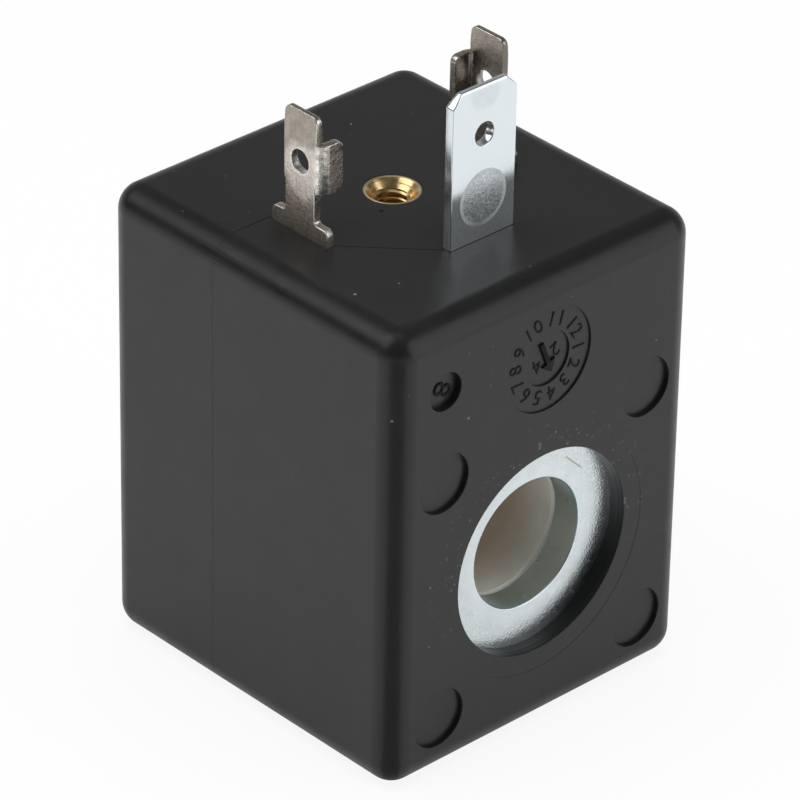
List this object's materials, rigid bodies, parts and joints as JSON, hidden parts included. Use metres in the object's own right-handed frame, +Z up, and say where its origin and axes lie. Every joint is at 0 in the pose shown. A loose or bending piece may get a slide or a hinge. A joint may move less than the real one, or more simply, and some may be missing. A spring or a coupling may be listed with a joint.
{
  "type": "solenoid valve coil",
  "caption": "Encapsulated solenoid valve coil: rounded black moulded block with a through bore, recessed steel pole faces, blade terminals and a threaded plug insert on top.",
  "frame": {"origin": "middle of the armature bore, on its axis and midway between the two end faces", "axes": "+Z up towards the blades, Y along the bore with the marked front face at -Y, +X to the right seen from the front"},
  "size_m": [0.0296, 0.031, 0.0503],
  "materials": {
    "encapsulation": "satin charcoal black moulding, fine scuffs",
    "natural_plastic": "natural beige engineering plastic",
    "copper": "enamelled copper wire",
    "tape": "amber polyester tape",
    "zinc_steel": "bright zinc plating",
    "tinned_brass": "dull tin over brass",
    "brass": "turned brass",
    "solder": "dull solder"
  },
  "bodies": {
    "root": {"encapsulation": "encapsulation", "bobbin": "natural_plastic", "winding": "copper", "winding_tape": "tape", "yoke": "zinc_steel", "terminal_carrier": "natural_plastic", "line_terminal": "tinned_brass", "neutral_terminal": "tinned_brass", "earth_terminal": "zinc_steel", "threaded_insert": "brass", "start_lead": "copper", "finish_lead": "copper", "solder_joints": "solder"}
  },
  "joints": []
}
